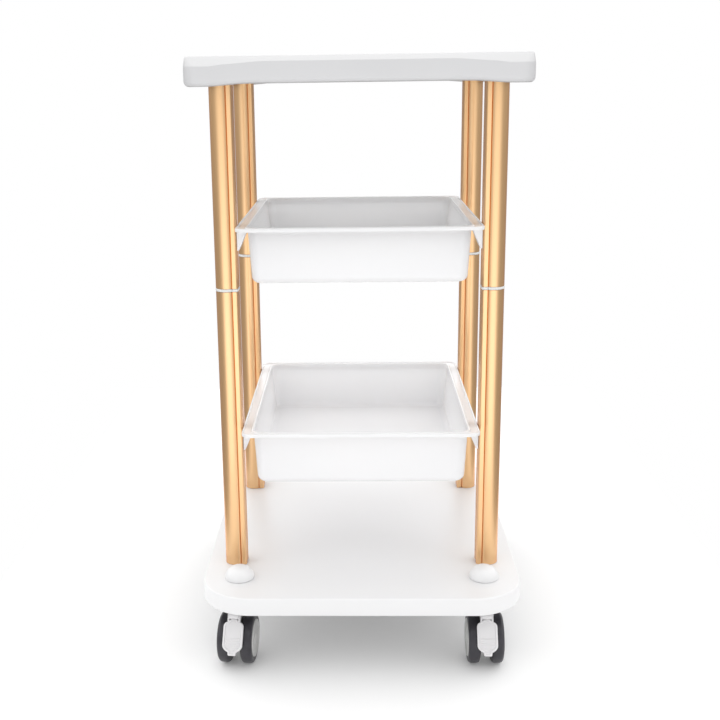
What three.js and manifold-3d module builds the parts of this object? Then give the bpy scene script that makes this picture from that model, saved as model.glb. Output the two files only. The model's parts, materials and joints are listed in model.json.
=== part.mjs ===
// Spa trolley cart: two white moulded boards joined by four gold extruded posts, two white trays
// hung between the posts on brackets, and four twin-wheel swivel casters with brake pedals.
// Millimetres, +Z up. The origin is on the floor under the middle of the cart, and -Y is its front.
import * as THREE from "three";
import { mergeVertices } from "three/addons/utils/BufferGeometryUtils.js";
import Module from "manifold-3d";

const wasm = await Module();
wasm.setup();

// ---- Driving dimensions ----
const gap = 0.3; // left between fixed pieces that touch

const base = { halfX: 187, halfY: 233, corner: 60, bottom: 76, top: 98, edge: 2.5 };

const board = {
  halfX: 179.6,
  halfY: 230,
  corner: 14,
  top: 694,
  skirtBottom: 663.8, // at the corners and along the sides
  arch: 2.6, // how much higher the skirt's lower edge is in the middle of the front and back
  archFrom: 159,
  archTo: 112, // |x| between which the arch rises
  panel: 673, // the recessed underside inside the skirt
  skirtWidth: 7.5,
  skirtDraft: 2, // how much the skirt thickens up to the panel
  lowerEdge: 5.5, // rounding of the skirt's lower edge
  upperEdge: 5, // how far in the top edge's rounding reaches
  rounding: { corner: 10.2, step: 8.2, middle: 5.4 }, // its depth: at the corners, inside them, midway
  roundingAt: { corner: 150, step: 140, middle: 95 }, // and the |x| of each
};

const post = {
  x: 153,
  y: 129.3,
  radius: 12.7,
  bore: 6.5,
  railFace: 13.9, // from the post's axis to the flat face of its bracket rail
  railHalf: 11.2,
  slotMouth: 3.2,
  slotHalf: 5.6,
  slotLip: 12.2,
  slotFloor: 8.4,
  seam: 6.2, // where the tube's round side ends, and the groove beside the rail
  grooveFloor: 6.8,
  grooveHalf: 9.8,
  grooveEnd: 7.6,
  railEdge: 2.9, // rounding of the rail's corners
  roundSteps: 15,
};

const joint = { z: 437, thickness: 3.2, proud: 0.4, spigot: 6.1, spigotLength: 18 };

const tray = {
  halfX: 138.4,
  halfY: 168,
  corner: 11,
  wallHalfX: 126,
  wallHalfY: 159,
  footHalfX: 122,
  footHalfY: 157,
  depth: 64,
  wallCorner: 12,
  flange: 2.8,
  lip: 4.2,
  lipWidth: 2,
  bead: 1.2, // how far the rim's two beads stand above the flange between them
  beadSlope: 0.6,
  rimEdge: 0.5,
  rims: { lower: 273, upper: 511 },
  // The moulding's profiles, each point [out from the walls, height, corner radius]: the first two
  // measured from the walls' foot, the third from the top of the walls.
  outerFoot: [[-8, 0, 6], [-2.4, 2.4, 10], [0, 8, 12]],
  innerFoot: [[-2.2, 8, 10.5], [-4.6, 4.2, 9], [-9.2, 2.2, 5]],
  innerRim: [[2.4, -1.2, 11], [1.8, 0, 11], [0, 0, 10.5], [-0.6, -0.6, 10.2]],
};

const bracket = {
  width: 20,
  height: 24,
  reach: 12.3,
  toe: 3,
  toeRound: 2,
  rimThickness: 2.2, // of its top edge, under the tray's flange
  play: 0.4, // of its T-shaped tongue in the post's slot
};

const caster = {
  x: 144.5,
  y: 176,
  trail: 17.5,
  turns: { front_left: -Math.PI / 30 }, // casters that stand a little turned about their swivel axis
  headRadius: 16.5,
  headBottom: 62,
  headTop: 72.8,
  plateRadius: 21,
  plateBottom: 73.3,
  stemRadius: 5,
  nutRadius: 9,
  nutHeight: 8,
  webHalf: 5.1,
  bossRadius: 11,
  axleRadius: 4,
  axleHalf: 18,
  bearingGap: 0.5,
};

const wheel = { radius: 30, rimRadius: 22.4, inner: 6.6, outer: 20.6, shoulder: 4, segments: 24 };
const wheelCentreZ = wheel.radius * Math.cos(Math.PI / wheel.segments);

const cap = { radius: 17.2, height: 15, wall: 2.6, band: 1.5, arcSteps: 4 };

const hubFace = {
  play: 0.4, // between the hub and the tyre
  rim: 0.2, // how far the face stands out past the tyre's side: its rim,
  bead: 0.8, // the bead just inside the rim,
  beadWidth: 1.4,
  dish: -0.4, // the dish inside the bead,
  dishInset: 3.4,
  middle: 0.6, // and the middle
  middleRadius: 5,
};

const pedal = {
  tilt: Math.PI / 6, // of the paddle from upright
  off: 31.5, // from the axle to the paddle's back
  thickness: 3.4,
  halfWidth: 11.7,
  neckHalf: 7.4, // where the paddle meets its ears
  crown: 18.8, // the arched top, the other heights being along the paddle from the axle's level
  neck: 15.4,
  shoulder: 9.2,
  hip: -10.6,
  root: -18.9,
  rootHalf: 5.6,
  tip: -22.8,
  tipHalf: 4.6,
  pinAlong: 23.6, // the hinge pin, along the paddle and off the axle
  pinOff: 31.8,
  pinRadius: 2,
  earRadius: 4.2,
  earInner: 5.5,
  earOuter: 7.4,
  noseRadius: 4,
};

// ---- Materials ----
const plastic = (color, roughness) => new THREE.MeshStandardMaterial({ color, roughness, metalness: 0 });
const metal = (color, roughness) => new THREE.MeshStandardMaterial({ color, roughness, metalness: 1 });
const materials = {
  board: plastic(0xf1f1f2, 0.35),
  tray: plastic(0xf4f4f6, 0.22),
  gold: metal(0xd9a468, 0.3),
  joint: plastic(0xeef0ee, 0.4),
  housing: plastic(0xc9c9c9, 0.45),
  pedal: plastic(0xe4e2e3, 0.4),
  tyre: plastic(0x2b2b31, 0.6),
  hub: plastic(0xb9b8b6, 0.5),
  steel: metal(0xb4b6b8, 0.35),
};

// ---- Solid helpers ----
function solidOf(geometry) {
  const plain = (geometry.index ? geometry.toNonIndexed() : geometry).clone();
  plain.deleteAttribute("normal");
  plain.deleteAttribute("uv");
  const merged = mergeVertices(plain, 1e-3);
  return new wasm.Manifold(
    new wasm.Mesh({
      numProp: 3,
      vertProperties: new Float32Array(merged.attributes.position.array),
      triVerts: new Uint32Array(merged.index.array),
    }),
  );
}

function geometryOf(solid) {
  const mesh = solid.getMesh();
  const geometry = new THREE.BufferGeometry();
  geometry.setAttribute("position", new THREE.BufferAttribute(mesh.vertProperties, 3));
  geometry.setIndex(new THREE.BufferAttribute(mesh.triVerts, 1));
  geometry.computeVertexNormals();
  return geometry;
}

function join(...geometries) {
  return geometryOf(geometries.map(solidOf).reduce((a, b) => a.add(b)));
}

function cut(geometry, ...tools) {
  return geometryOf(tools.map(solidOf).reduce((a, b) => a.subtract(b), solidOf(geometry)));
}

function cylinder(radius, bottom, top, segments) {
  const geometry = new THREE.CylinderGeometry(radius, radius, top - bottom, segments);
  return geometry.rotateX(Math.PI / 2).translate(0, 0, (bottom + top) / 2);
}

function crossBar(radius, half, segments) {
  return new THREE.CylinderGeometry(radius, radius, 2 * half, segments).rotateZ(Math.PI / 2);
}

// A closed profile turned about the X axis: each point is [x, radius].
function turnedAboutX(profile, segments) {
  const points = profile.map(([x, radius]) => new THREE.Vector2(radius, x));
  const geometry = new THREE.LatheGeometry(points, segments);
  return geometry.rotateY(Math.PI / segments).rotateZ(-Math.PI / 2);
}

// An outline in the side view, its points [y, z], made from x = -half to x = half.
function sideExtrusion(shape, half, curveSegments) {
  const geometry = new THREE.ExtrudeGeometry(shape, {
    depth: 2 * half,
    bevelEnabled: false,
    curveSegments,
  });
  geometry.translate(0, 0, -half);
  return geometry.applyMatrix4(
    new THREE.Matrix4().makeBasis(
      new THREE.Vector3(0, 1, 0),
      new THREE.Vector3(0, 0, 1),
      new THREE.Vector3(1, 0, 0),
    ),
  );
}

const smoothstep = (from, to, value) => THREE.MathUtils.smoothstep(value, from, to);

// ---- Lofts of rounded rectangles ----
// One loop, counter-clockwise from above, with the same number of points whatever its size.
function roundedLoop({ halfX, halfY, corner, z, arcs = 6, runX = 1, runY = 1 }) {
  const points = [];
  const height = typeof z === "function" ? z : () => z;
  const add = (x, y) => points.push(new THREE.Vector3(x, y, height(x, y)));
  const corners = [
    [halfX - corner, halfY - corner, 0],
    [-(halfX - corner), halfY - corner, 1],
    [-(halfX - corner), -(halfY - corner), 2],
    [halfX - corner, -(halfY - corner), 3],
  ];
  corners.forEach(([cx, cy, quarter], index) => {
    for (let i = 0; i <= arcs; i++) {
      const angle = ((quarter + i / arcs) * Math.PI) / 2;
      add(cx + corner * Math.cos(angle), cy + corner * Math.sin(angle));
    }
    const run = index % 2 === 0 ? runX : runY;
    const last = points[points.length - 1];
    const alongX = index % 2 === 0;
    const nextX = alongX ? -last.x : last.x;
    const nextY = alongX ? last.y : -last.y;
    for (let i = 1; i < run; i++) {
      const share = i / run;
      add(last.x + (nextX - last.x) * share, last.y + (nextY - last.y) * share);
    }
  });
  return points;
}

// A closed solid through the loops in turn. The first loop is closed by a face looking down
// and the last by one looking up.
function loft(loops) {
  const count = loops[0].length;
  const positions = loops.flat().flatMap((p) => [p.x, p.y, p.z]);
  const index = [];
  for (let k = 0; k + 1 < loops.length; k++) {
    for (let i = 0; i < count; i++) {
      const next = (i + 1) % count;
      const [a, b] = [k * count + i, k * count + next];
      const [c, d] = [(k + 1) * count + next, (k + 1) * count + i];
      index.push(a, b, c, a, c, d);
    }
  }
  const lastStart = (loops.length - 1) * count;
  for (let i = 1; i + 1 < count; i++) {
    index.push(0, i + 1, i);
    index.push(lastStart, lastStart + i, lastStart + i + 1);
  }
  const geometry = new THREE.BufferGeometry();
  geometry.setAttribute("position", new THREE.Float32BufferAttribute(positions, 3));
  geometry.setIndex(index);
  geometry.computeVertexNormals();
  return geometry;
}

// ---- Boards ----
function baseBoard() {
  const { halfX, halfY, corner, bottom, top, edge } = base;
  const at = (inset, z) =>
    roundedLoop({ halfX: halfX - inset, halfY: halfY - inset, corner: corner - inset, z, arcs: 8 });
  const slab = loft([
    at(edge, bottom),
    at(0, bottom + edge),
    at(0, top - edge),
    at(edge * 0.3, top - edge * 0.3),
    at(edge, top),
  ]);
  const holes = [];
  for (const sx of [-1, 1]) {
    for (const sy of [-1, 1]) {
      const hole = cylinder(caster.stemRadius + caster.bearingGap, bottom - 1, top + 1, 16);
      holes.push(hole.translate(sx * caster.x, sy * caster.y, 0));
    }
  }
  return cut(slab, ...holes);
}

function skirtBottomAt(x) {
  return board.skirtBottom + board.arch * (1 - smoothstep(board.archTo, board.archFrom, Math.abs(x)));
}

// The top edge is rounded more deeply at the corners than along the middle.
function roundingAt(x) {
  const { corner, step, middle } = board.rounding;
  const at = board.roundingAt;
  const inner = smoothstep(at.middle, at.step, Math.abs(x));
  const outer = smoothstep(at.step, at.corner, Math.abs(x));
  return middle + (step - middle) * inner + (corner - step) * outer;
}

function topBoard() {
  const { halfX, halfY, corner, top, panel, skirtWidth, skirtDraft, lowerEdge, upperEdge } = board;
  const at = (inset, z) => {
    const size = { halfX: halfX - inset, halfY: halfY - inset, corner: corner - inset };
    return roundedLoop({ ...size, z, runX: 12, runY: 2 });
  };
  const above = (height) => (x) => skirtBottomAt(x) + height;
  const below = (share) => (x) => top - share * roundingAt(x);
  return loft([
    at(skirtWidth + skirtDraft, panel),
    at(skirtWidth, skirtBottomAt),
    at(lowerEdge, skirtBottomAt),
    at(lowerEdge * 0.3, above(lowerEdge * 0.3)),
    at(0, above(lowerEdge)),
    at(0, below(1)),
    at(upperEdge * 0.28, below(0.45)),
    at(upperEdge * 0.6, below(0.12)),
    at(upperEdge, top),
  ]);
}

// ---- Posts ----
// The section, with its rail and T-slot towards +X. grow moves the whole outline outwards.
function addArc(shape, x, y, radius, from, to, steps) {
  for (let i = 0; i <= steps; i++) {
    const angle = from + ((to - from) * i) / steps;
    shape.lineTo(x + radius * Math.cos(angle), y + radius * Math.sin(angle));
  }
}

function postOutline(grow, withSlot) {
  const radius = post.radius + grow;
  const face = post.railFace + grow;
  const half = post.railHalf + grow;
  const { seam, grooveFloor, grooveHalf, grooveEnd, railEdge, roundSteps } = post;
  const seamAngle = Math.acos(seam / radius);
  const side = (sign) => [
    [grooveFloor, grooveHalf * sign],
    [grooveEnd, half * sign],
    [face - railEdge, half * sign],
  ];
  const shape = new THREE.Shape();
  shape.moveTo(radius * Math.cos(seamAngle), radius * Math.sin(seamAngle));
  addArc(shape, 0, 0, radius, seamAngle, 2 * Math.PI - seamAngle, roundSteps);
  side(-1).forEach(([u, v]) => shape.lineTo(u, v));
  addArc(shape, face - railEdge, railEdge - half, railEdge, -Math.PI / 2, 0, 3);
  if (withSlot) {
    const { slotMouth, slotHalf, slotLip, slotFloor } = post;
    shape.lineTo(face, -slotMouth).lineTo(slotLip, -slotMouth).lineTo(slotLip, -slotHalf);
    shape.lineTo(slotFloor, -slotHalf).lineTo(slotFloor, slotHalf).lineTo(slotLip, slotHalf);
    shape.lineTo(slotLip, slotMouth).lineTo(face, slotMouth);
  }
  addArc(shape, face - railEdge, half - railEdge, railEdge, 0, Math.PI / 2, 3);
  side(1)
    .reverse()
    .forEach(([u, v]) => shape.lineTo(u, v));
  return shape;
}

function postTube(length) {
  const shape = postOutline(0, true);
  const bore = new THREE.Path();
  bore.absarc(0, 0, post.bore, 0, 2 * Math.PI, true);
  shape.holes.push(bore);
  return new THREE.ExtrudeGeometry(shape, { depth: length, bevelEnabled: false, curveSegments: 6 });
}

// The white joint piece between a lower and an upper post: a thin collar with a spigot each way.
function postJoint() {
  const { thickness, proud, spigot, spigotLength } = joint;
  const collar = new THREE.ExtrudeGeometry(postOutline(proud, false), {
    depth: thickness,
    bevelEnabled: false,
  });
  collar.translate(0, 0, -thickness / 2);
  const pin = cylinder(spigot, -thickness / 2 - spigotLength, thickness / 2 + spigotLength, 12);
  return join(collar, pin);
}

// ---- Trays ----
function trayShell() {
  const { halfX, halfY, corner, wallHalfX, wallHalfY, wallCorner, footHalfX, footHalfY, depth } = tray;
  const { flange, lip, lipWidth, bead, beadSlope, rimEdge, outerFoot, innerFoot, innerRim } = tray;
  const rim = (inset, z) =>
    roundedLoop({ halfX: halfX - inset, halfY: halfY - inset, corner: corner - inset, z, arcs: 4 });
  const wall = ([outset, z, round]) =>
    roundedLoop({ halfX: wallHalfX + outset, halfY: wallHalfY + outset, corner: round, z, arcs: 4 });
  const foot = ([outset, height, round]) => {
    const size = { halfX: footHalfX + outset, halfY: footHalfY + outset };
    return roundedLoop({ ...size, corner: round, z: height - depth, arcs: 4 });
  };
  return loft([
    ...outerFoot.map(foot),
    wall([0, -flange, wallCorner]),
    rim(lipWidth, -flange),
    rim(lipWidth, -lip),
    rim(0, -lip),
    rim(0, -rimEdge),
    rim(rimEdge, 0),
    rim(lipWidth, 0),
    rim(lipWidth + beadSlope, -bead),
    ...innerRim.map(wall),
    ...innerFoot.map(foot),
  ]);
}

// A wedge under the tray's side flange, held in the post's T-slot. Its post side is at x = 0
// and it reaches towards +X; its top is at z = 0.
function trayBracket() {
  const { width, height, reach, toe, toeRound, rimThickness, play } = bracket;
  const wedge = new THREE.Shape();
  wedge.moveTo(0, 0).lineTo(0, -height).lineTo(toe * 0.6, -height).lineTo(toe, -height + toeRound);
  wedge.lineTo(reach - 0.8, -rimThickness).lineTo(reach, 0).closePath();
  const body = new THREE.ExtrudeGeometry(wedge, { depth: width, bevelEnabled: false });
  body.rotateX(Math.PI / 2).translate(0, width / 2, 0);
  const neckHalf = post.slotMouth - play;
  const headHalf = post.slotHalf - play;
  const lipThickness = post.railFace - post.slotLip;
  const headFrom = -gap - lipThickness - play;
  const headTo = -gap - (post.railFace - post.slotFloor) + play;
  const tongueHeight = height - 6;
  const inBody = 1;
  const neck = new THREE.BoxGeometry(inBody - headFrom + play, 2 * neckHalf, tongueHeight);
  neck.translate((inBody + headFrom - play) / 2, 0, -height / 2);
  const head = new THREE.BoxGeometry(headFrom - headTo, 2 * headHalf, tongueHeight);
  head.translate((headFrom + headTo) / 2, 0, -height / 2);
  return join(body, neck, head);
}

// ---- Caster pieces, in the frame of a front left caster's swivel axis ----
function casterCap() {
  const { radius, height, wall, band, arcSteps } = cap;
  const outer = [];
  for (let i = 0; i < arcSteps; i++) {
    const angle = ((i / arcSteps) * Math.PI) / 2;
    outer.push([radius * Math.cos(angle), band + (height - band) * Math.sin(angle)]);
  }
  outer.push([0, height]);
  const inner = [
    [0, height - wall],
    [radius - wall - 5, height - wall - 2],
    [radius - wall, band + 2],
    [radius - wall, 0],
  ];
  const points = [...inner, [radius - 0.6, 0], ...outer].map(([r, z]) => new THREE.Vector2(r, z));
  return new THREE.LatheGeometry(points, 16).rotateX(Math.PI / 2);
}

function casterStem() {
  const { plateRadius, plateBottom, stemRadius, nutRadius, nutHeight, headBottom } = caster;
  const plate = cylinder(plateRadius, plateBottom, base.bottom - gap, 16);
  const shank = cylinder(stemRadius, headBottom + 3.5, base.top + gap + nutHeight + 1.5, 12);
  const nut = cylinder(nutRadius, base.top + gap, base.top + gap + nutHeight, 6);
  return join(plate, shank, nut);
}

// The paddle's own axes: along it upwards, and straight off the wheel.
const alongPaddle = new THREE.Vector2(Math.sin(pedal.tilt), Math.cos(pedal.tilt));
const offWheel = new THREE.Vector2(-Math.cos(pedal.tilt), Math.sin(pedal.tilt));

function paddlePoint(along, off) {
  return new THREE.Vector2(-caster.trail, wheelCentreZ)
    .addScaledVector(alongPaddle, along)
    .addScaledVector(offWheel, off);
}

const pedalPin = paddlePoint(pedal.pinAlong, pedal.pinOff);

function casterHousing() {
  const { headRadius, headBottom, headTop, webHalf, bossRadius, trail, stemRadius, bearingGap } = caster;
  const head = cylinder(headRadius, headBottom, headTop, 16);
  const bossEnd = 0.3; // angle at which the web meets the boss, from level
  const web = new THREE.Shape();
  web.moveTo(13, headBottom + 1).lineTo(9, headBottom - 8);
  const bossY = -trail + bossRadius * Math.cos(bossEnd);
  const bossZ = wheelCentreZ - bossRadius * Math.sin(bossEnd);
  web.quadraticCurveTo(-4, headBottom - 20, bossY, bossZ);
  web.absarc(-trail, wheelCentreZ, bossRadius, -bossEnd, bossEnd - Math.PI, true);
  web.lineTo(-22, headBottom - 14).lineTo(pedalPin.x + 3, pedalPin.y - 6);
  web.absarc(pedalPin.x, pedalPin.y, pedal.noseRadius, -0.9, -Math.PI * 1.5, true);
  web.lineTo(-12, headTop - 2).lineTo(10, headTop - 2).closePath();
  const body = join(head, sideExtrusion(web, webHalf, 5));
  const swivelBore = cylinder(stemRadius + bearingGap, headBottom + 3, headTop + 1, 12);
  const axleBore = crossBar(caster.axleRadius + bearingGap, webHalf + 1, 12);
  axleBore.translate(0, -trail, wheelCentreZ);
  const pinBore = crossBar(pedal.pinRadius + bearingGap, webHalf + 1, 12);
  pinBore.translate(0, pedalPin.x, pedalPin.y);
  return cut(body, swivelBore, axleBore, pinBore);
}

// The paddle's face, across and along: an arched top, round shoulders and hips, and a narrow tip.
function paddleFace() {
  const { halfWidth, neckHalf, crown, neck, shoulder, hip, root, rootHalf, tip, tipHalf } = pedal;
  const face = new THREE.Shape();
  face.moveTo(-tipHalf, tip).lineTo(tipHalf, tip).lineTo(rootHalf - 0.4, root).lineTo(rootHalf, root);
  face.quadraticCurveTo(halfWidth, (root + hip) / 2 - 1, halfWidth, hip);
  face.lineTo(halfWidth, shoulder);
  face.quadraticCurveTo(halfWidth, neck - 1, neckHalf, neck);
  face.quadraticCurveTo(0, 2 * crown - neck, -neckHalf, neck);
  face.quadraticCurveTo(-halfWidth, neck - 1, -halfWidth, shoulder);
  face.lineTo(-halfWidth, hip);
  face.quadraticCurveTo(-halfWidth, (root + hip) / 2 - 1, -rootHalf, root);
  face.lineTo(-rootHalf + 0.4, root).closePath();
  return face;
}

function brakePedal() {
  const { off, thickness, crown, neck, earInner, earOuter, earRadius, pinRadius } = pedal;
  const paddle = new THREE.ExtrudeGeometry(paddleFace(), {
    depth: thickness,
    bevelEnabled: false,
    curveSegments: 5,
  });
  const origin = paddlePoint(0, off);
  paddle.applyMatrix4(
    new THREE.Matrix4()
      .makeBasis(
        new THREE.Vector3(1, 0, 0),
        new THREE.Vector3(0, alongPaddle.x, alongPaddle.y),
        new THREE.Vector3(0, offWheel.x, offWheel.y),
      )
      .setPosition(0, origin.x, origin.y),
  );
  const ear = new THREE.Shape();
  const low = paddlePoint(neck - 4, off + 0.6);
  const high = paddlePoint(crown - 4, off + thickness - 0.2);
  const startAngle = Math.atan2(-alongPaddle.x, alongPaddle.y);
  ear.moveTo(low.x, low.y);
  ear.absarc(pedalPin.x, pedalPin.y, earRadius, startAngle - 0.6, startAngle + Math.PI + 0.2, false);
  ear.lineTo(high.x, high.y).closePath();
  const earHalf = (earOuter - earInner) / 2;
  const ears = [-1, 1].map((side) =>
    sideExtrusion(ear, earHalf, 6).translate(side * (earInner + earHalf), 0, 0),
  );
  const pin = crossBar(pinRadius, earOuter - 0.5, 12).translate(0, pedalPin.x, pedalPin.y);
  return join(paddle, ...ears, pin);
}

function tyre() {
  const { radius, rimRadius, inner, outer, shoulder, segments } = wheel;
  const profile = [
    [inner, rimRadius],
    [inner, radius - shoulder],
    [inner + shoulder, radius],
    [outer - shoulder, radius],
    [outer, radius - shoulder],
    [outer, rimRadius],
    [inner, rimRadius],
  ];
  return turnedAboutX(profile, segments);
}

function hub() {
  const { rimRadius, inner, outer } = wheel;
  const { play, rim, bead, beadWidth, dish, dishInset, middle, middleRadius } = hubFace;
  const radius = rimRadius - play;
  const bore = caster.axleRadius + caster.bearingGap;
  const floor = caster.axleHalf + caster.bearingGap; // the blind end of the axle's bore
  const profile = [
    [floor, 0],
    [floor, bore],
    [inner + caster.bearingGap, bore],
    [inner + caster.bearingGap, radius],
    [outer + rim, radius],
    [outer + bead, radius - beadWidth],
    [outer + dish, radius - dishInset],
    [outer + middle, middleRadius],
    [outer + middle, 0],
  ];
  return turnedAboutX(profile, 16);
}

// ---- Assembly ----
const cart = new THREE.Group();

function place(parent, name, geometry, material) {
  const mesh = new THREE.Mesh(geometry, material);
  mesh.name = name;
  parent.add(mesh);
  return mesh;
}

function groupAt(x, y, z, turn = 0) {
  const group = new THREE.Group();
  group.position.set(x, y, z);
  group.rotation.z = turn;
  cart.add(group);
  return group;
}

place(cart, "base_board", baseBoard(), materials.board);
place(cart, "top_board", topBoard(), materials.board);

const corners = [
  { name: "front_left", sx: -1, sy: -1 },
  { name: "front_right", sx: 1, sy: -1 },
  { name: "rear_left", sx: -1, sy: 1 },
  { name: "rear_right", sx: 1, sy: 1 },
];

const trayGeometry = trayShell();
for (const [level, rim] of Object.entries(tray.rims)) {
  place(cart, `${level}_tray`, trayGeometry, materials.tray).position.z = rim;
}

const lowerPost = { from: base.top + gap, to: joint.z - joint.thickness / 2 - gap };
const upperPost = { from: joint.z + joint.thickness / 2 + gap, to: board.panel - gap };
const lowerTube = postTube(lowerPost.to - lowerPost.from);
const upperTube = postTube(upperPost.to - upperPost.from);
const jointPiece = postJoint();
const bracketPiece = trayBracket();

for (const { name, sx, sy } of corners) {
  const towardsMiddle = sx < 0 ? 0 : Math.PI; // the rail and the brackets face the trays
  const line = groupAt(sx * post.x, sy * post.y, 0, towardsMiddle);
  place(line, `${name}_lower_post`, lowerTube, materials.gold).position.z = lowerPost.from;
  place(line, `${name}_upper_post`, upperTube, materials.gold).position.z = upperPost.from;
  place(line, `${name}_post_joint`, jointPiece, materials.joint).position.z = joint.z;
  for (const [level, rim] of Object.entries(tray.rims)) {
    const piece = place(line, `${name}_${level}_tray_bracket`, bracketPiece, materials.tray);
    piece.position.set(post.railFace + gap, 0, rim - tray.lip - gap);
  }
}

const capPiece = casterCap();
const casterPieces = {
  housing: [casterHousing(), materials.housing],
  brake_pedal: [brakePedal(), materials.pedal],
};
const stemPiece = casterStem();
const axlePiece = crossBar(caster.axleRadius, caster.axleHalf, 12);
const tyrePiece = tyre();
const hubPiece = hub();

for (const { name, sx, sy } of corners) {
  const turn = (sy < 0 ? 0 : Math.PI) + (caster.turns[name] ?? 0);
  const swivel = groupAt(sx * caster.x, sy * caster.y, 0, turn);
  place(swivel, `${name}_caster_cap`, capPiece, materials.board).position.z = base.top + gap;
  place(swivel, `${name}_caster_stem`, stemPiece, materials.steel);
  for (const [piece, [geometry, material]] of Object.entries(casterPieces)) {
    place(swivel, `${name}_caster_${piece}`, geometry, material);
  }
  place(swivel, `${name}_caster_axle`, axlePiece, materials.steel)
    .position.set(0, -caster.trail, wheelCentreZ);
  for (const side of [-1, 1]) {
    // A wheel is outer when it is the one nearer the cart's side.
    const outward = side * (sy < 0 ? 1 : -1) === sx;
    const label = `${name}_caster_${outward ? "outer" : "inner"}`;
    const half = new THREE.Group();
    half.position.set(0, -caster.trail, wheelCentreZ);
    half.rotation.z = side > 0 ? 0 : Math.PI;
    swivel.add(half);
    place(half, `${label}_tyre`, tyrePiece, materials.tyre);
    place(half, `${label}_hub`, hubPiece, materials.hub);
  }
}

export default cart;
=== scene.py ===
"""Looks for the spa trolley cart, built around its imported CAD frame.

Lengths are metres, +Z is up and -Y is the front."""

import json
import math

import bpy
import bmesh
from mathutils import Matrix, Vector


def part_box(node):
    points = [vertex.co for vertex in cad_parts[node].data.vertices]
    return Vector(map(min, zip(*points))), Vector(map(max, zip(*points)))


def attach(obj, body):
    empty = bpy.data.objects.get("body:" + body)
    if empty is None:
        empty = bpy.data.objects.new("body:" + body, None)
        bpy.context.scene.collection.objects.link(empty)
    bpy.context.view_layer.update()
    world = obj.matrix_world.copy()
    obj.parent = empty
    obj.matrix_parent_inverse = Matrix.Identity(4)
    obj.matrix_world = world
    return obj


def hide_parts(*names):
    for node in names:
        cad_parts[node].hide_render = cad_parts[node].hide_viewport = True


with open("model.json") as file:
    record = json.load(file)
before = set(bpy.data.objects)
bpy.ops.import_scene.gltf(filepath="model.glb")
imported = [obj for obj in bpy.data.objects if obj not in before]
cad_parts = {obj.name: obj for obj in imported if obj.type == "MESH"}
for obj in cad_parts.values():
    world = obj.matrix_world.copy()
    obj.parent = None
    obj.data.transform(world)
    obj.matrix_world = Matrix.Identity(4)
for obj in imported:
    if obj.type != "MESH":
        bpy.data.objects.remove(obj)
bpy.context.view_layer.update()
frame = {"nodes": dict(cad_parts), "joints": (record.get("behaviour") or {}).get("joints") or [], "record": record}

MM = 0.001
# Which side of the cart, along X, a corner is on.
CORNERS = {"front_left": -1, "front_right": 1, "rear_left": -1, "rear_right": 1}


# ---- Places, all from the frame ----
def middle_of(node):
    low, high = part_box(node)
    return (low + high) / 2


BASE_LOW, BASE_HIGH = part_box("base_board")
BOARD_LOW, BOARD_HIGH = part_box("top_board")


# ---- Camera ----
CAMERA_LENS = 55.05  # on a 36 mm sensor
CAMERA_PITCH = math.radians(14.22)
CAMERA_YAW = math.radians(-1.8)
CAMERA_ROLL = math.radians(-0.82)
CAMERA_PLACE = Vector((-0.0043, -1.3769, 0.668))
CAMERA_SHIFT = 0.0517


def make_camera():
    """The photo's camera, turned by yaw, pitch and roll from a level look along +Y."""
    data = bpy.data.cameras.new("camera")
    data.lens = CAMERA_LENS
    data.sensor_width = 36
    data.shift_x = CAMERA_SHIFT
    camera = bpy.data.objects.new("camera", data)
    bpy.context.scene.collection.objects.link(camera)
    cos_pitch = math.cos(CAMERA_PITCH)
    forward = Vector(
        (
            math.sin(CAMERA_YAW) * cos_pitch,
            math.cos(CAMERA_YAW) * cos_pitch,
            -math.sin(CAMERA_PITCH),
        )
    )
    level_right = Vector((math.cos(CAMERA_YAW), -math.sin(CAMERA_YAW), 0))
    level_up = level_right.cross(forward)
    right = math.cos(CAMERA_ROLL) * level_right + math.sin(CAMERA_ROLL) * level_up
    up = right.cross(forward)
    camera.matrix_world = Matrix(
        (
            (right.x, up.x, -forward.x, CAMERA_PLACE.x),
            (right.y, up.y, -forward.y, CAMERA_PLACE.y),
            (right.z, up.z, -forward.z, CAMERA_PLACE.z),
            (0, 0, 0, 1),
        )
    )
    bpy.context.scene.camera = camera


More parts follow.
